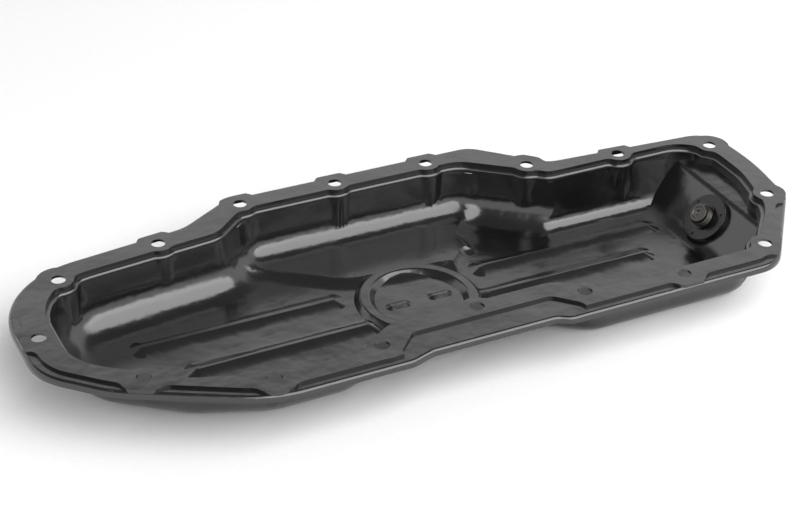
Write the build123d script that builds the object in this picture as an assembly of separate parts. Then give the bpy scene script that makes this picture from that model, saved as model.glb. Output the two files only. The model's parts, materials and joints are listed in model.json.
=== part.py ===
"""Engine oil pan: the lower sump of a V engine, drawn from one sheet of steel.

The pan stands open side up, as it is stored. X runs along the pan, Y across it, Z up.
The origin is on the underside of the floor, at the centre of the round floor bead.
All sizes are millimetres.
"""

import os
from math import cos, radians, sin, tan

from build123d import *

# Sheet and depth
SHEET = 1.2
DEPTH = 30.0
FLOOR = SHEET
SEAL_FACE = FLOOR + DEPTH

# Flange section, measured down from the sealing face
INNER_STEP = 2.2
OUTER_STEP = 1.3
LIP_DEPTH = 4.6
RIM_RADIUS = 1.9
MOUTH_RADIUS = 1.8
STEP_RADIUS = 0.7
INNER_BAND = 2.4
OUTER_BAND = 5.2
PAD_SETBACK = 0.6

# Flange bolts, M6 in clearance holes
BOLT_HOLE = 7.0
PAD_INNER = 7.2
PAD_OUTER = 10.5
SCALLOP = 9.2
SCALLOP_BLEND = 5.0
PAD_BLEND = 6.0

# Outer edge of the flange in plan
RIM_LEFT = -197.8
RIM_RIGHT = 204.3
RIM_NEAR = -79.7
RIM_BULGE = 83.3
RIM_FAR_LEFT = 66.8
RIM_FAR_RIGHT = 52.6
JOGGLE = 3.6

# Wall of the cavity at its mouth in plan
WALL_LEFT = -178.7
WALL_RIGHT = 187.2
WALL_NEAR = -62.4
WALL_NEAR_MIDDLE = -48.3
WALL_BULGE = 67.0
WALL_FAR_RIGHT = 37.6
BULGE_LEFT = -64.5
BULGE_RIGHT = 56.5

# Walls and floor
DRAFT_START = 5.2
WALL_CLEAR = 0.05
INSIDE = 1.6
LEFT_FOOT_RADIUS = 18.0
RIGHT_FOOT_RADIUS = 9.0
DIAGONAL_FOOT_RADIUS = 16.0
SHELF_FOOT_RADIUS = 12.5
SHELF_RISE = 2.8

# Stepped end wall that carries the drain
END_FOOT_X = 156.0
END_SLOPE = 50.0
END_FOOT_RADIUS = 12.0
SHOULDER_DROP = 8.6
SHOULDER_RADIUS = 5.0
LEDGE_SLOPE = 6.0

# Floor beads
RING_INNER = 22.0
RING_OUTER = 32.0
RING_CROWN = 4.6
RING_RISE = 2.8
RING_BEND = 1.5
BEAD_WIDTH = 14.0
BEAD_CROWN = 2.4
BEAD_RISE = 2.2
BEAD_BEND = 1.0
KEY_LENGTH = 13.0
KEY_WIDTH = 6.0
KEY_RISE = 1.2
KEY_OFFSET = 11.5

# Drain boss, plug and gasket
BOSS_Y = -7.8
BOSS_HEIGHT = 14.0
BOSS_DIAMETER = 26.0
BOSS_PROUD = 3.0
BOSS_EDGE = 0.5
SPIGOT_DIAMETER = 16.0
COLLAR_DIAMETER = 14.0
COLLAR_PROUD = 1.2
DRAIN_BORE = 12.0
SHANK_CLEARANCE = 0.05
SHANK_PAST_FACE = 5.8
SHANK_CHAMFER = 1.0
GASKET_THICKNESS = 1.5
GASKET_OUTER = 20.0
GASKET_INNER = 12.2
HEAD_FLANGE_DIAMETER = 20.0
HEAD_FLANGE = 1.5
HEAD_HEX = 14.0
HEAD_HEIGHT = 6.0
WELD_SPOT = 1.6
WELD_SPOT_DEPTH = 0.5


def outline(corners, grow=0.0):
    """A closed face whose straight sides run from corner to corner, joined by tangent arcs."""
    points = [(x, y) for x, y, radius in corners]
    radii = [radius for x, y, radius in corners]
    face = make_face(FilletPolyline(*points, radius=radii, close=True))
    return offset(face, amount=grow) if grow else face


def raised(sketch, low, high):
    """A straight prism on a plan sketch, from one height to another."""
    return extrude(Pos(0, 0, low) * sketch, amount=high - low)


def soften(face, outward=0.0, inward=0.0):
    """Round the concave corners of a face, then its convex ones."""
    if outward:
        face = offset(face, amount=outward, kind=Kind.ARC)
        face = offset(face, amount=-outward, kind=Kind.ARC)
    if inward:
        face = offset(face, amount=-inward, kind=Kind.ARC)
        face = offset(face, amount=inward, kind=Kind.ARC)
    return face


HOLES = [
    (-188.4, 2.4),
    (-166.6, 43.9),
    (-113.7, 55.4),
    (-63.8, 74.2),
    (-11.6, 74.2),
    (40.7, 74.2),
    (88.9, 51.6),
    (139.8, 42.6),
    (191.1, 30.9),
    (188.0, -24.1),
    (157.1, -63.5),
    (104.5, -70.1),
    (52.8, -64.1),
    (0.5, -54.5),
    (-53.0, -64.4),
    (-105.7, -67.6),
    (-156.5, -44.3),
]

RIM = [
    (RIM_LEFT, -22.0, 30),
    (-172.0, -47.0, 60),
    (-111.0, RIM_NEAR, 60),
    (-44.0, RIM_NEAR, 10),
    (-32.5, RIM_NEAR + JOGGLE, 10),
    (31.0, RIM_NEAR + JOGGLE, 8),
    (37.0, RIM_NEAR, 8),
    (154.6, RIM_NEAR, 22),
    (198.5, -27.5, 12),
    (RIM_RIGHT, 8.0, 120),
    (202.3, 46.2, 17),
    (103.0, RIM_FAR_RIGHT, 12),
    (71.0, RIM_BULGE, 16),
    (-69.0, RIM_BULGE, 18),
    (-97.0, RIM_FAR_LEFT, 22),
    (RIM_LEFT, 53.6, 48),
]

MOUTH = [
    (WALL_LEFT, -19.5, 26),
    (-139.2, -50.0, 45),
    (-102.5, WALL_NEAR, 45),
    (-63.5, WALL_NEAR, 22),
    (-44.0, WALL_NEAR_MIDDLE, 22),
    (44.0, WALL_NEAR_MIDDLE, 22),
    (63.0, WALL_NEAR, 22),
    (151.5, WALL_NEAR, 20),
    (178.5, -32.5, 35),
    (WALL_RIGHT, 0.0, 50),
    (WALL_RIGHT, WALL_FAR_RIGHT, 20),
    (95.5, WALL_FAR_RIGHT, 10),
    (BULGE_RIGHT, WALL_BULGE, 18),
    (BULGE_LEFT, WALL_BULGE, 18),
    (-83.0, 50.9, 18),
    (WALL_LEFT, 40.5, 32),
]

# Each row is a corner at the mouth, its bend radius, and how far it leans in at the floor.
LEFT_TUB = [
    (WALL_LEFT, -19.5, 26, 5.5, 2.5),
    (-139.2, -50.0, 45, 2.0, 5.5),
    (-102.5, WALL_NEAR, 45, 1.0, 2.0),
    (-63.5, WALL_NEAR, 22, 1.0, 2.0),
    (-44.0, WALL_NEAR_MIDDLE, 22, 1.0, 1.8),
    (44.0, WALL_NEAR_MIDDLE + INSIDE, 22, 0.0, 1.8),
    (44.0, 30.0, 18, 0.0, 0.0),
    (-22.0, 36.0, 22, 0.0, 0.0),
    (BULGE_LEFT, WALL_BULGE, 19, 1.5, -2.0),
    (-83.0, 50.9, 18, 1.5, -2.0),
    (WALL_LEFT, 40.5, 32, 5.5, -2.0),
]
RIGHT_TUB = [
    (-60.0, WALL_NEAR_MIDDLE, 12, 0.0, 1.8),
    (44.0, WALL_NEAR_MIDDLE, 22, 0.0, 1.8),
    (63.0, WALL_NEAR, 22, 0.0, 1.9),
    (151.5, WALL_NEAR, 20, -1.5, 1.9),
    (178.5, -32.5, 35, -2.0, 1.0),
    (WALL_RIGHT, 0.0, 50, -2.0, 0.0),
    (WALL_RIGHT, WALL_FAR_RIGHT, 20, -2.0, -5.6),
    (40.0, WALL_FAR_RIGHT, 12, 0.0, -5.6),
    (20.0, 15.0, 12, 0.0, 0.0),
    (-60.0, 15.0, 12, 0.0, 0.0),
]
DIAGONAL_TUB = [
    (36.0, -40.0, 18, 0.0, 0.0),
    (136.0, -40.0, 18, 0.0, 0.0),
    (136.0, 7.1, 18, -1.2, -1.6),
    (BULGE_RIGHT, WALL_BULGE, 18, -1.2, -1.6),
    (36.0, 49.0, 18, 0.0, 0.0),
]
SHELF_TUB = [
    (-81.5, 0.0, 14, 0.0, 0.0),
    (100.0, 0.0, 14, 0.0, 0.0),
    (100.0, 32.3, 14, -1.0, -1.0),
    (BULGE_RIGHT - 2.5, WALL_BULGE, 18, -0.8, -1.0),
    (BULGE_LEFT + 2.2, WALL_BULGE, 18, 0.8, -1.0),
    (-81.5, 50.3, 18, 0.8, -1.0),
]


def tub(rows, depth, foot_radius, grow):
    """A drawn hollow: leaning walls from a mouth outline to a foot outline, with a rounded foot."""
    mouth = outline([(x, y, radius) for x, y, radius, lean_x, lean_y in rows], grow + WALL_CLEAR)
    foot = outline([(x + lean_x, y + lean_y, radius) for x, y, radius, lean_x, lean_y in rows], grow)
    low = SEAL_FACE - depth - grow
    hollow = loft([Pos(0, 0, SEAL_FACE - DRAFT_START) * mouth, Pos(0, 0, low) * foot], ruled=True)
    return fillet(hollow.faces().sort_by(Axis.Z)[0].edges(), foot_radius + grow)


def mouth_line(grow):
    """Plan of the cavity mouth: the wall line, cut back round the bolt holes."""
    face = outline(MOUTH, grow)
    for x, y in HOLES:
        face = face - Pos(x, y, 0) * Circle(SCALLOP - grow)
    return soften(face, inward=SCALLOP_BLEND)


def end_step(grow):
    """The block left under the sloping end wall and the ledge above it."""
    shoulder = SEAL_FACE - SHOULDER_DROP
    run = (shoulder - FLOOR) / tan(radians(END_SLOPE))
    reach = 30.0
    sink = 0.02
    profile = [
        (END_FOOT_X - 40, FLOOR - 30, 1),
        (END_FOOT_X - 40, FLOOR - sink, 1),
        (END_FOOT_X - sink / tan(radians(END_SLOPE)), FLOOR - sink, END_FOOT_RADIUS),
        (END_FOOT_X + run, shoulder, SHOULDER_RADIUS),
        (END_FOOT_X + run + reach, shoulder + reach * tan(radians(LEDGE_SLOPE)), 1),
        (END_FOOT_X + run + reach, FLOOR - 30, 1),
    ]
    face = outline(profile, -grow)
    return Pos(0, 120, 0) * (Plane.XZ * extrude(face, amount=240))


def hollow(grow, top):
    """The space inside the pan, or with grow the form that the sheet wraps round it."""
    low = FLOOR - 2 * SHEET
    tubs = tub(LEFT_TUB, DEPTH, LEFT_FOOT_RADIUS, grow)
    tubs = tubs + tub(RIGHT_TUB, DEPTH, RIGHT_FOOT_RADIUS, grow)
    tubs = tubs + tub(DIAGONAL_TUB, DEPTH, DIAGONAL_FOOT_RADIUS, grow)
    tubs = tubs + tub(SHELF_TUB, DEPTH - SHELF_RISE, SHELF_FOOT_RADIUS, grow)
    tubs = tubs - end_step(grow)
    throat = raised(outline(MOUTH, grow + WALL_CLEAR), SEAL_FACE - DRAFT_START, top)
    return (tubs + throat) & raised(mouth_line(grow), low, top)


def plateau_edge(inset):
    """Outer edge of the raised sealing face in plan, swelling round each bolt hole."""
    face = outline(RIM, -OUTER_BAND)
    for x, y in HOLES:
        face = face + Pos(x, y, 0) * Circle(PAD_OUTER)
    cut = [(-47, -90), (47, -90), (47, -72), (36, -61), (-36, -61), (-47, -72)]
    face = face - make_face(Polyline(*cut, close=True))
    face = soften(face, outward=PAD_BLEND)
    face = face & outline(RIM, -PAD_SETBACK)
    return offset(face, amount=-inset) if inset else face


def well_edge(grow):
    """Inner edge of the raised sealing face in plan."""
    face = outline(MOUTH, INNER_BAND)
    for x, y in HOLES:
        face = face - Pos(x, y, 0) * Circle(PAD_INNER)
    face = soften(face, inward=SCALLOP_BLEND)
    return offset(face, amount=grow) if grow else face


def flange_block(gauge):
    """Block under the flange surface. With a gauge it fills the underside of the sheet."""
    low = SEAL_FACE - LIP_DEPTH - gauge
    step = SEAL_FACE - OUTER_STEP - gauge
    face = SEAL_FACE - gauge
    band = raised(outline(RIM, -gauge), low, step)
    band = fillet(band.edges().group_by(Axis.Z)[-1], RIM_RADIUS - gauge)
    plateau = raised(plateau_edge(gauge), step - 1.0, face)
    well = raised(well_edge(gauge), SEAL_FACE - INNER_STEP - gauge, SEAL_FACE + 5)
    return (band + plateau) - well


def mouth_fillet(shell):
    """Roll the inner band over into the wall all round the mouth."""
    level = SEAL_FACE - INNER_STEP
    wall = mouth_line(0).faces()[0].outer_wire()
    rolled = []
    for edge in shell.edges():
        box = edge.bounding_box()
        flat = abs(box.min.Z - level) < 1e-4 and abs(box.max.Z - level) < 1e-4
        if not flat:
            continue
        middle = edge @ 0.5
        if wall.distance_to(Vertex(middle.X, middle.Y, 0)) < 0.02:
            rolled.append(edge)
    return fillet(rolled, MOUTH_RADIUS)


def bead(left, right, y, base):
    """A long straight bead with a narrow crown."""
    lean = (BEAD_WIDTH - BEAD_CROWN) / 2
    length = right - left
    foot = RectangleRounded(length, BEAD_WIDTH, 5.0)
    crown = RectangleRounded(length - 2 * lean, BEAD_CROWN, 1.1)
    form = loft([foot, Pos(0, 0, BEAD_RISE) * crown], ruled=True)
    return Pos((left + right) / 2, y, base) * form


def key(x, base):
    """A short key beside the centre of the round bead."""
    foot = RectangleRounded(KEY_LENGTH, KEY_WIDTH, 2.5)
    crown = RectangleRounded(KEY_LENGTH - 2.4, KEY_WIDTH - 2.4, 1.3)
    form = loft([foot, Pos(0, 0, KEY_RISE) * crown], ruled=True)
    return Pos(x, 0, base) * form


def ring(base):
    """The round bead in the middle of the floor."""
    middle = (RING_INNER + RING_OUTER) / 2
    half = RING_CROWN / 2
    corners = [(RING_INNER, 0), (middle - half, RING_RISE), (middle + half, RING_RISE), (RING_OUTER, 0)]
    face = make_face(Polyline(*corners, close=True))
    crown = [vertex for vertex in face.vertices() if vertex.Y > RING_RISE / 2]
    face = fillet(crown, RING_BEND)
    return Pos(0, 0, base) * revolve(Plane.XZ * face, Axis.Z)


def beads(base):
    """All the stiffening beads in the floor, standing on one level."""
    group = ring(base)
    group = group + bead(-143.0, -33.5, 15.5, base)
    group = group + bead(-126.0, -27.0, -10.9, base)
    group = group + bead(35.5, 148.0, 12.4, base)
    group = group + bead(27.0, 131.0, -9.4, base)
    group = group + key(-KEY_OFFSET, base)
    return group + key(KEY_OFFSET, base)


def drain_axis():
    """Plane on the inner face of the end wall, looking back into the pan along the plug."""
    slope = radians(END_SLOPE)
    height = BOSS_HEIGHT - BOSS_PROUD * cos(slope)
    foot = END_FOOT_X + (height - FLOOR) / tan(slope)
    inward = (-sin(slope), 0, cos(slope))
    return Plane(origin=(foot, BOSS_Y, height), x_dir=(0, -1, 0), z_dir=inward)


def turned(radius, low, high):
    """A cylinder on the drain axis between two distances from the end wall."""
    return drain_axis() * raised(Circle(radius), low, high)


def make_shell(inside):
    """The pressed pan with its flange, beads, bolt holes and drain hole."""
    shell = flange_block(0) - flange_block(SHEET)
    shell = shell + hollow(SHEET, SEAL_FACE - INNER_STEP)
    shell = shell - inside
    shell = mouth_fillet(shell)
    shell = shell + beads(FLOOR)
    shell = shell - beads(0)
    for x, y in HOLES:
        shell = shell - Pos(x, y, 0) * raised(Circle(BOLT_HOLE / 2), SEAL_FACE - 10, SEAL_FACE + 5)
    return shell - turned(SPIGOT_DIAMETER / 2, -4, 4)


def make_boss(inside):
    """The disc welded inside the end wall, with a spigot through the sheet."""
    disc = turned(BOSS_DIAMETER / 2, -0.5, BOSS_PROUD)
    disc = fillet(disc.edges().sort_by(Axis.Z)[-1], BOSS_EDGE) & inside
    boss = disc + turned(SPIGOT_DIAMETER / 2, -SHEET, BOSS_PROUD - 0.5)
    boss = boss + turned(COLLAR_DIAMETER / 2, BOSS_PROUD - 0.5, BOSS_PROUD + COLLAR_PROUD)
    boss = boss - turned(DRAIN_BORE / 2, -5, 10)
    spot = Cylinder(WELD_SPOT / 2, 2 * WELD_SPOT_DEPTH)
    for angle in (35, 155, 275):
        place = Rot(0, 0, angle) * Pos(BOSS_DIAMETER / 2 - 2.4, 0, BOSS_PROUD)
        boss = boss - drain_axis() * place * spot
    return boss


def make_gasket():
    """The sealing ring squeezed between the plug head and the pan."""
    low = -SHEET - GASKET_THICKNESS
    gasket = turned(GASKET_OUTER / 2, low, -SHEET)
    return gasket - turned(GASKET_INNER / 2, low - 1, 0)


def make_plug():
    """The drain plug: flanged hexagon head and a plain pitch-cylinder for its thread."""
    seat = -SHEET - GASKET_THICKNESS
    radius = DRAIN_BORE / 2 - SHANK_CLEARANCE
    tip = BOSS_PROUD + SHANK_PAST_FACE
    shank = turned(radius, seat - 1, tip)
    ends = [edge for edge in shank.edges() if edge.geom_type == GeomType.CIRCLE]
    shank = chamfer(sorted(ends, key=lambda edge: edge.center().Z)[-1], SHANK_CHAMFER)
    hexagon = RegularPolygon(HEAD_HEX / 2, 6, major_radius=False)
    head = drain_axis() * raised(hexagon, seat - HEAD_HEIGHT, seat - HEAD_FLANGE + 0.2)
    flange = turned(HEAD_FLANGE_DIAMETER / 2, seat - HEAD_FLANGE, seat)
    return head + flange + shank


def main():
    os.makedirs("parts", exist_ok=True)
    inside = hollow(0, SEAL_FACE + 5)
    export_step(make_shell(inside), "parts/pan_shell.step")
    export_step(make_boss(inside), "parts/drain_boss.step")
    export_step(make_gasket(), "parts/drain_gasket.step")
    export_step(make_plug(), "parts/drain_plug.step")


if __name__ == "__main__":
    main()
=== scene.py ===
"""Engine oil pan: the finished look of the pressed pan, its drain boss, plug and sealing ring."""

import json
from math import pi, radians

import bmesh
import bpy
from mathutils import Matrix, Vector


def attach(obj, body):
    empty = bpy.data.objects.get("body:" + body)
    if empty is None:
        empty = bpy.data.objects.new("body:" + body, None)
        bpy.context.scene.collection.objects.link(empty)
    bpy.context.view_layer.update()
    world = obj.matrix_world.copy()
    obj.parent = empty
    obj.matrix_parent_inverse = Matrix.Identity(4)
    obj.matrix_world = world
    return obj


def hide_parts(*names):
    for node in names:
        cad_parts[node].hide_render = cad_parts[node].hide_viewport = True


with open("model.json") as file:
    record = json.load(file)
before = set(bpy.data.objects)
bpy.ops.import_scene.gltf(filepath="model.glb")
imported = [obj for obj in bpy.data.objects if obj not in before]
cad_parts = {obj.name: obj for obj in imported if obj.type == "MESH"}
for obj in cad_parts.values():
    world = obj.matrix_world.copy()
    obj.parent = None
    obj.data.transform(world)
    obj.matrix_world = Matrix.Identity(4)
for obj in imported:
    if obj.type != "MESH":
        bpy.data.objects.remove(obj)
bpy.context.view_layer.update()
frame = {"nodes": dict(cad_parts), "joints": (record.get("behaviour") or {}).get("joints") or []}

bl_info = {
    "name": "Engine oil pan",
    "version": (1, 0, 0),
    "blender": (4, 5, 0),
    "location": "3D View > Sidebar > Oil pan",
    "description": "Builds the finished surfaces of a pressed-steel engine oil pan",
    "category": "Object",
}

MM = 0.001

# Drain axis, from the plug's own hinge: a point on the end wall, and the way back into the pan
PLUG_HINGE = [joint for joint in frame["joints"] if joint["type"] == "hinge"][0]
DRAIN_POINT = Vector(PLUG_HINGE["pos_m"])
INWARD = -Vector(PLUG_HINGE["axis"]).normalized()
ACROSS = Vector((0.0, -1.0, 0.0))

# Distances along the drain axis from the inside of the wall, and radii, in millimetres
SEAT = -2.7
FLANGE_END = -4.2
HEAD_END = -8.7
TIP = 8.8
THREAD_CREST = 5.95
THREAD_ROOT = 5.3
THREAD_PITCH = 1.25
THREAD_END_GAP = 1.0
HEAD_FLANGE_RADIUS = 10.0
HEXAGON_CORNER = 8.08
HEXAGON_OVERLAP = 0.2
HEXAGON_EASE = 0.35
PLUG_STEPS = 72

# Where a turn of the thread reaches its crest and leaves it, as shares of the pitch
CREST_START = 0.45
CREST_END = 0.6

# Hollowed end face of the plug, as radius and depth below the tip, in millimetres
END_FACE = ((5.2, 0.3), (4.8, 0.0), (3.4, 0.0), (3.1, 0.3), (1.6, 0.3), (1.3, 0.8), (0.0, 0.8))

# Sealing ring, in millimetres: its two flat faces, its bore and rim, and how far each is eased
RING_LOW = -2.7
RING_HIGH = -1.2
RING_BORE = 6.1
RING_RIM = 10.0
RING_BORE_EASE = 0.25
RING_RIM_EASE = 0.3
RING_STEPS = 96

# Keys in the floor, in millimetres: half their crown, and how far the crown draws in on softer sides
KEY_OFFSET = 11.5
KEY_HALF_LENGTH = 5.4
KEY_HALF_WIDTH = 1.85
KEY_CROWN_LEVELS = (1.2, 2.4)
KEY_DRAW_IN = (0.85, 0.45)
KEY_LEVEL_SLACK = 0.05

# Camera solved from the bolt holes
CAMERA_PLACE = Vector((-0.33746, -0.61337, 0.46835))
CAMERA_AHEAD = Vector((0.3955, 0.7439, -0.5388))
CAMERA_RIGHT = Vector((0.8921, -0.4505, 0.0329))
CAMERA_LENS = 77.04
SENSOR_WIDTH = 36.0

# Studio: sines of the heights at which the white backdrop starts to fade and ends
BACKDROP_FULL = 0.56
BACKDROP_END = 0.68
BACKDROP_LEVEL = 1.2
ROOM_LEVEL = 0.18
FLOOR_HALF = 4.0
LAMP_PLACE = (0.5, -0.95, 1.35)
LAMP_TARGET = (0.1, 0.0, 0.02)
LAMP_SIZE = (2.8, 1.6)
LAMP_POWER = 41.0

# Coat: its reflectance, noise scales per metre, and the heights of its bumps in metres
COAT_IOR = 1.75
THIN_COAT_IOR = 1.45
RIPPLE_SCALE = 650.0
RIPPLE_HEIGHT = 0.00004
DRAWN_SCALE = 40.0
SHEET_WAVES = 0.0007
GRAIN_HEIGHT = 0.00005
PAPER_SCALE = 300.0

SHARP_ANGLE = radians(32)
MERGE_DISTANCE = 1e-6
FLAT_ANGLE = radians(0.05)
BROAD_FACE = 30 * MM * MM
NO_LENGTH = 1e-12


def linear(code):
    """An sRGB hex value as a linear colour."""
    channels = [int(code[i:i + 2], 16) / 255 for i in (1, 3, 5)]
    return [c / 12.92 if c <= 0.04045 else ((c + 0.055) / 1.055) ** 2.4 for c in channels] + [1.0]


def add_node(tree, kind, settings=None, links=None):
    """A node with its settings, and links given as socket name to the output that feeds it."""
    node = tree.nodes.new(kind)
    for name, value in (settings or {}).items():
        if name in node.inputs:
            node.inputs[name].default_value = value
        else:
            setattr(node, name, value)
    for name, output in (links or {}).items():
        tree.links.new(output, node.inputs[name])
    return node


def new_material(name):
    """An empty node material and its tree."""
    material = bpy.data.materials.new(name)
    material.use_nodes = True
    material.node_tree.nodes.clear()
    return material, material.node_tree


def finish_material(tree, shader):
    """Join a shader to the material's surface."""
    add_node(tree, "ShaderNodeOutputMaterial", links={"Surface": shader.outputs[0]})


def coat_material(name, code, roughness, ior):
    """Black electro-dip coat on pressed steel: a glossy film with a faint, even ripple."""
    material, tree = new_material(name)
    place = add_node(tree, "ShaderNodeTexCoord").outputs["Object"]
    # Ripple of the dried film, about 1.5 mm from crest to crest
    ripple = add_node(tree, "ShaderNodeTexNoise", {"Scale": RIPPLE_SCALE, "Detail": 2.0}, {"Vector": place})
    # Drawing marks left in the sheet, about 25 mm across
    drawn = add_node(tree, "ShaderNodeTexNoise", {"Scale": DRAWN_SCALE, "Detail": 3.0}, {"Vector": place})
    gloss = add_node(
        tree,
        "ShaderNodeMapRange",
        {"From Min": 0.3, "From Max": 0.7, "To Min": roughness * 0.85, "To Max": roughness * 1.2},
        {"Value": drawn.outputs["Fac"]},
    )
    tint = add_node(tree, "ShaderNodeValToRGB", links={"Fac": drawn.outputs["Fac"]})
    tint.color_ramp.elements[0].position = 0.35
    tint.color_ramp.elements[0].color = linear(code)
    tint.color_ramp.elements[1].position = 0.7
    tint.color_ramp.elements[1].color = [min(1.0, 1.35 * c) for c in linear(code)[:3]] + [1.0]
    waves = add_node(
        tree,
        "ShaderNodeBump",
        {"Strength": 1.0, "Distance": SHEET_WAVES},
        {"Height": drawn.outputs["Fac"]},
    )
    bump = add_node(
        tree,
        "ShaderNodeBump",
        {"Strength": 0.06, "Distance": RIPPLE_HEIGHT},
        {"Height": ripple.outputs["Fac"], "Normal": waves.outputs["Normal"]},
    )
    shader = add_node(
        tree,
        "ShaderNodeBsdfPrincipled",
        {"IOR": ior},
        {
            "Base Color": tint.outputs["Color"],
            "Roughness": gloss.outputs["Result"],
            "Normal": bump.outputs["Normal"],
        },
    )
    finish_material(tree, shader)
    return material


def metal_material(name, code, roughness, grain):
    """Coated or plain metal, with a fine mottled grain given in millimetres."""
    material, tree = new_material(name)
    place = add_node(tree, "ShaderNodeTexCoord").outputs["Object"]
    mottle = add_node(
        tree, "ShaderNodeTexNoise", {"Scale": 1000.0 / grain, "Detail": 4.0}, {"Vector": place}
    )
    tint = add_node(tree, "ShaderNodeValToRGB", links={"Fac": mottle.outputs["Fac"]})
    tint.color_ramp.elements[0].position = 0.3
    tint.color_ramp.elements[0].color = [0.75 * c for c in linear(code)[:3]] + [1.0]
    tint.color_ramp.elements[1].position = 0.7
    tint.color_ramp.elements[1].color = linear(code)
    gloss = add_node(
        tree,
        "ShaderNodeMapRange",
        {"To Min": roughness * 0.8, "To Max": roughness * 1.25},
        {"Value": mottle.outputs["Fac"]},
    )
    bump = add_node(
        tree,
        "ShaderNodeBump",
        {"Strength": 0.1, "Distance": GRAIN_HEIGHT},
        {"Height": mottle.outputs["Fac"]},
    )
    shader = add_node(
        tree,
        "ShaderNodeBsdfPrincipled",
        {"Metallic": 1.0},
        {
            "Base Color": tint.outputs["Color"],
            "Roughness": gloss.outputs["Result"],
            "Normal": bump.outputs["Normal"],
        },
    )
    finish_material(tree, shader)
    return material


def shade(form):
    """Smooth faces, with the true edges kept sharp."""
    for face in form.faces:
        face.smooth = True
    for edge in form.edges:
        edge.smooth = len(edge.link_faces) == 2 and edge.calc_face_angle(0.0) < SHARP_ANGLE


def fans(corner):
    """The faces round a vertex, in groups that no sharp edge divides."""
    left = set(corner.link_faces)
    while left:
        group = [left.pop()]
        for face in group:
            for edge in face.edges:
                if corner in edge.verts and edge.smooth:
                    joined = [other for other in edge.link_faces if other in left]
                    left.difference_update(joined)
                    group.extend(joined)
        yield group


def corner_normals(form):
    """A normal for each face corner: true on broad flats, and averaged by angle on bends."""
    normals = {}
    areas = {face: face.calc_area() for face in form.faces}
    for corner in form.verts:
        for group in fans(corner):
            broad = [face for face in group if areas[face] > BROAD_FACE]
            total = Vector()
            for face in broad or group:
                loop = [part for part in face.loops if part.vert == corner][0]
                total += face.normal * (areas[face] if broad else loop.calc_angle())
            if total.length < NO_LENGTH:
                total = group[0].normal.copy()
            total.normalize()
            for face in group:
                normals[(face, corner)] = total
    return [normals[(face, loop.vert)] for face in form.faces for loop in face.loops]


def add_piece(form, name, material, body, node):
    """Turn a bmesh into a piece that stands for a node and moves with its body."""
    shade(form)
    form.normal_update()
    normals = corner_normals(form)
    mesh = bpy.data.meshes.new(name)
    form.to_mesh(mesh)
    form.free()
    mesh.normals_split_custom_set(normals)
    mesh.materials.clear()
    mesh.materials.append(material)
    piece = bpy.data.objects.new(name, mesh)
    bpy.context.scene.collection.objects.link(piece)
    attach(piece, body)
    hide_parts(node)
    return piece


def merged_copy(node):
    """A bmesh of a node's solid with its loose triangles joined."""
    form = bmesh.new()
    form.from_mesh(frame["nodes"][node].data)
    bmesh.ops.remove_doubles(form, verts=form.verts, dist=MERGE_DISTANCE)
    bmesh.ops.dissolve_limit(form, angle_limit=FLAT_ANGLE, verts=form.verts, edges=form.edges)
    bmesh.ops.recalc_face_normals(form, faces=form.faces)
    return form


def soften_keys(form):
    """Narrow the crowns of the two short keys, so that their sides slope as gently as a pressing's."""
    for corner in form.verts:
        x, y, z = corner.co / MM
        middle = KEY_OFFSET if x > 0 else -KEY_OFFSET
        on_crown = min(abs(z - level) for level in KEY_CROWN_LEVELS) < KEY_LEVEL_SLACK
        if on_crown and abs(x - middle) < KEY_HALF_LENGTH and abs(y) < KEY_HALF_WIDTH:
            corner.co.x = (middle + KEY_DRAW_IN[0] * (x - middle)) * MM
            corner.co.y = KEY_DRAW_IN[1] * y * MM


def drain_matrix():
    """Places a shape drawn about Z onto the drain axis, with +Z towards the inside of the pan."""
    side = INWARD.cross(ACROSS)
    turn = Matrix((ACROSS, side, INWARD)).transposed().to_4x4()
    return Matrix.Translation(DRAIN_POINT) @ turn


def spun(profile, steps):
    """A closed form of revolution about Z from a profile of (radius, height) in millimetres."""
    form = bmesh.new()
    corners = [form.verts.new((radius * MM, 0.0, height * MM)) for radius, height in profile]
    edges = [form.edges.new((a, b)) for a, b in zip(corners, corners[1:])]
    # A profile that starts and ends on the axis closes there by itself
    if profile[0][0] > 0:
        edges.append(form.edges.new((corners[-1], corners[0])))
    bmesh.ops.spin(
        form,
        geom=corners + edges,
        cent=(0, 0, 0),
        axis=(0, 0, 1),
        angle=2 * pi,
        steps=steps,
        use_merge=True,
    )
    bmesh.ops.remove_doubles(form, verts=form.verts, dist=MERGE_DISTANCE)
    bmesh.ops.recalc_face_normals(form, faces=form.faces)
    return form


class OilPanFinish(bpy.types.PropertyGroup):
    """Colours and gloss of the pan."""

    coat: bpy.props.StringProperty(
        name="Coat", description="sRGB colour of the black coat", default="#0e0e0f"
    )
    coat_roughness: bpy.props.FloatProperty(
        name="Coat roughness", description="Roughness of the black coat", default=0.19, min=0.0, max=1.0
    )
    plug: bpy.props.StringProperty(
        name="Plug", description="sRGB colour of the plug's dark phosphate coat", default="#5a5855"
    )
    aluminium: bpy.props.StringProperty(
        name="Sealing ring", description="sRGB colour of the sealing ring", default="#c4c5c7"
    )


class OILPAN_OT_pan(bpy.types.Operator):
    """The pressed pan with its flange, beads and bolt holes"""

    bl_idname = "oilpan.pan"
    bl_label = "Pressed pan"

    def execute(self, context):
        finish = context.scene.oil_pan_finish
        material = coat_material("black_dip_coat", finish.coat, finish.coat_roughness, COAT_IOR)
        form = merged_copy("pan_shell")
        soften_keys(form)
        add_piece(form, "pressed_pan", material, "pan", "pan_shell")
        return {"FINISHED"}


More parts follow.
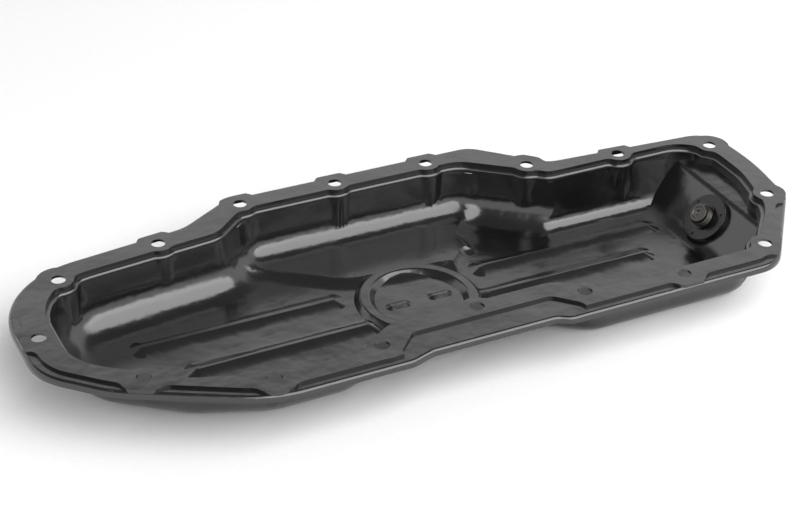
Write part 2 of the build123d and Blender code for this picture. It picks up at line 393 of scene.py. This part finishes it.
class OILPAN_OT_boss(bpy.types.Operator):
    """The threaded disc welded inside the end wall"""

    bl_idname = "oilpan.boss"
    bl_label = "Drain boss"

    def execute(self, context):
        finish = context.scene.oil_pan_finish
        gloss = finish.coat_roughness * 1.2
        material = coat_material("black_dip_coat_on_boss", finish.coat, gloss, THIN_COAT_IOR)
        add_piece(merged_copy("drain_boss"), "welded_boss", material, "pan", "drain_boss")
        return {"FINISHED"}


class OILPAN_OT_ring(bpy.types.Operator):
    """The soft sealing ring under the plug's head"""

    bl_idname = "oilpan.ring"
    bl_label = "Sealing ring"

    def execute(self, context):
        finish = context.scene.oil_pan_finish
        material = metal_material("soft_aluminium", finish.aluminium, 0.3, 0.6)
        profile = [
            (RING_BORE, RING_LOW + RING_BORE_EASE),
            (RING_BORE + RING_BORE_EASE, RING_LOW),
            (RING_RIM - RING_RIM_EASE, RING_LOW),
            (RING_RIM, RING_LOW + RING_RIM_EASE),
            (RING_RIM, RING_HIGH - RING_RIM_EASE),
            (RING_RIM - RING_RIM_EASE, RING_HIGH),
            (RING_BORE + RING_BORE_EASE, RING_HIGH),
            (RING_BORE, RING_HIGH - RING_BORE_EASE),
        ]
        form = spun(profile, RING_STEPS)
        form.transform(drain_matrix())
        add_piece(form, "crush_ring", material, "gasket", "drain_gasket")
        return {"FINISHED"}


class OILPAN_OT_plug(bpy.types.Operator):
    """The hexagon-headed drain plug, with its thread and hollowed end face"""

    bl_idname = "oilpan.plug"
    bl_label = "Drain plug"

    def execute(self, context):
        finish = context.scene.oil_pan_finish
        material = metal_material("dark_phosphated_steel", finish.plug, 0.34, 0.8)
        form = spun(self.shank(), PLUG_STEPS)
        self.hexagon(form)
        bmesh.ops.recalc_face_normals(form, faces=form.faces)
        form.transform(drain_matrix())
        add_piece(form, "flanged_plug", material, "plug", "drain_plug")
        return {"FINISHED"}

    def shank(self):
        """Profile of the head flange, the thread's turns and the end face."""
        rim = HEAD_FLANGE_RADIUS
        profile = [(0.0, FLANGE_END), (rim - 0.4, FLANGE_END), (rim, FLANGE_END + 0.4)]
        profile += [(rim, SEAT - 0.2), (rim - 0.2, SEAT), (THREAD_ROOT, SEAT)]
        height = SEAT + THREAD_END_GAP
        while height < TIP - THREAD_END_GAP - THREAD_PITCH:
            profile.append((THREAD_ROOT, height))
            profile.append((THREAD_CREST, height + CREST_START * THREAD_PITCH))
            profile.append((THREAD_CREST, height + CREST_END * THREAD_PITCH))
            height += THREAD_PITCH
        profile.append((THREAD_ROOT, height))
        return profile + [(radius, TIP - depth) for radius, depth in END_FACE]

    def hexagon(self, form):
        """The hexagon under the flange, its corners eased."""
        made = bmesh.ops.create_circle(form, cap_ends=True, segments=6, radius=HEXAGON_CORNER * MM)
        base = made["verts"][0].link_faces[0]
        drawn = bmesh.ops.extrude_face_region(form, geom=[base])["geom"]
        top = [part for part in drawn if isinstance(part, bmesh.types.BMVert)]
        bmesh.ops.translate(form, verts=made["verts"], vec=(0, 0, HEAD_END * MM))
        bmesh.ops.translate(form, verts=top, vec=(0, 0, (FLANGE_END + HEXAGON_OVERLAP) * MM))
        edges = [edge for part in made["verts"] for edge in part.link_edges]
        bmesh.ops.bevel(
            form,
            geom=list(set(edges)),
            offset=HEXAGON_EASE * MM,
            segments=2,
            profile=0.5,
            affect="EDGES",
            material=-1,
        )


class OILPAN_OT_stage(bpy.types.Operator):
    """The pale floor, the soft light and the camera"""

    bl_idname = "oilpan.stage"
    bl_label = "Stage"

    def execute(self, context):
        self.floor()
        self.light()
        self.world(context)
        self.camera(context)
        context.scene.view_settings.view_transform = "Standard"
        return {"FINISHED"}

    def floor(self):
        form = bmesh.new()
        bmesh.ops.create_grid(form, x_segments=1, y_segments=1, size=FLOOR_HALF)
        mesh = bpy.data.meshes.new("studio_floor")
        form.to_mesh(mesh)
        form.free()
        floor = bpy.data.objects.new("studio_floor", mesh)
        bpy.context.scene.collection.objects.link(floor)
        material, tree = new_material("white_paper")
        place = add_node(tree, "ShaderNodeTexCoord").outputs["Object"]
        fibre = add_node(tree, "ShaderNodeTexNoise", {"Scale": PAPER_SCALE}, {"Vector": place})
        tint = add_node(tree, "ShaderNodeValToRGB", links={"Fac": fibre.outputs["Fac"]})
        tint.color_ramp.elements[0].color = linear("#ebebeb")
        tint.color_ramp.elements[1].color = linear("#f0f0f0")
        shader = add_node(
            tree, "ShaderNodeBsdfPrincipled", {"Roughness": 0.9}, {"Base Color": tint.outputs["Color"]}
        )
        finish_material(tree, shader)
        mesh.materials.append(material)

    def light(self):
        lamp = bpy.data.lights.new("overhead_softbox", "AREA")
        lamp.shape = "ELLIPSE"
        lamp.size, lamp.size_y = LAMP_SIZE
        lamp.energy = LAMP_POWER
        holder = bpy.data.objects.new("overhead_softbox", lamp)
        holder.location = LAMP_PLACE
        ahead = Vector(LAMP_TARGET) - Vector(LAMP_PLACE)
        holder.rotation_euler = ahead.to_track_quat("-Z", "Y").to_euler()
        bpy.context.scene.collection.objects.link(holder)

    def world(self, context):
        world = bpy.data.worlds.new("studio")
        world.use_nodes = True
        tree = world.node_tree
        tree.nodes.clear()
        # White backdrop up to about 34 degrees above the floor, faded by 43 into a dim room
        way = add_node(tree, "ShaderNodeTexCoord").outputs["Generated"]
        parts = add_node(tree, "ShaderNodeSeparateXYZ", links={"Vector": way})
        band = add_node(
            tree,
            "ShaderNodeMapRange",
            {
                "From Min": BACKDROP_FULL,
                "From Max": BACKDROP_END,
                "To Min": BACKDROP_LEVEL,
                "To Max": ROOM_LEVEL,
            },
            {"Value": parts.outputs["Z"]},
        )
        fill = add_node(
            tree,
            "ShaderNodeBackground",
            {"Color": (1, 1, 1, 1)},
            {"Strength": band.outputs["Result"]},
        )
        white = add_node(tree, "ShaderNodeBackground", {"Color": (1, 1, 1, 1), "Strength": 1.0})
        path = add_node(tree, "ShaderNodeLightPath")
        mix = add_node(tree, "ShaderNodeMixShader", links={"Fac": path.outputs["Is Camera Ray"]})
        tree.links.new(fill.outputs[0], mix.inputs[1])
        tree.links.new(white.outputs[0], mix.inputs[2])
        add_node(tree, "ShaderNodeOutputWorld", links={"Surface": mix.outputs[0]})
        context.scene.world = world

    def camera(self, context):
        lens = bpy.data.cameras.new("photo_camera")
        lens.lens = CAMERA_LENS
        lens.sensor_width = SENSOR_WIDTH
        lens.clip_start = 0.01
        back = -CAMERA_AHEAD.normalized()
        right = (CAMERA_RIGHT - CAMERA_RIGHT.dot(back) * back).normalized()
        up = back.cross(right)
        camera = bpy.data.objects.new("photo_camera", lens)
        turn = Matrix((right, up, back)).transposed().to_4x4()
        camera.matrix_world = Matrix.Translation(CAMERA_PLACE) @ turn
        context.scene.collection.objects.link(camera)
        context.scene.camera = camera


class OILPAN_PT_panel(bpy.types.Panel):
    """Lists the pieces of the oil pan"""

    bl_label = "Oil pan"
    bl_idname = "OILPAN_PT_panel"
    bl_space_type = "VIEW_3D"
    bl_region_type = "UI"
    bl_category = "Oil pan"

    def draw(self, context):
        for name in ("coat", "coat_roughness", "plug", "aluminium"):
            self.layout.prop(context.scene.oil_pan_finish, name)
        for operator in OPERATORS:
            self.layout.operator(operator.bl_idname)


OPERATORS = (OILPAN_OT_pan, OILPAN_OT_boss, OILPAN_OT_ring, OILPAN_OT_plug, OILPAN_OT_stage)
CLASSES = (OilPanFinish,) + OPERATORS + (OILPAN_PT_panel,)


def register():
    for item in CLASSES:
        bpy.utils.register_class(item)
    bpy.types.Scene.oil_pan_finish = bpy.props.PointerProperty(type=OilPanFinish)


def unregister():
    del bpy.types.Scene.oil_pan_finish
    for item in reversed(CLASSES):
        bpy.utils.unregister_class(item)


def main():
    register()
    bpy.ops.oilpan.pan()
    bpy.ops.oilpan.boss()
    bpy.ops.oilpan.ring()
    bpy.ops.oilpan.plug()
    bpy.ops.oilpan.stage()


if __name__ == "__main__":
    main()
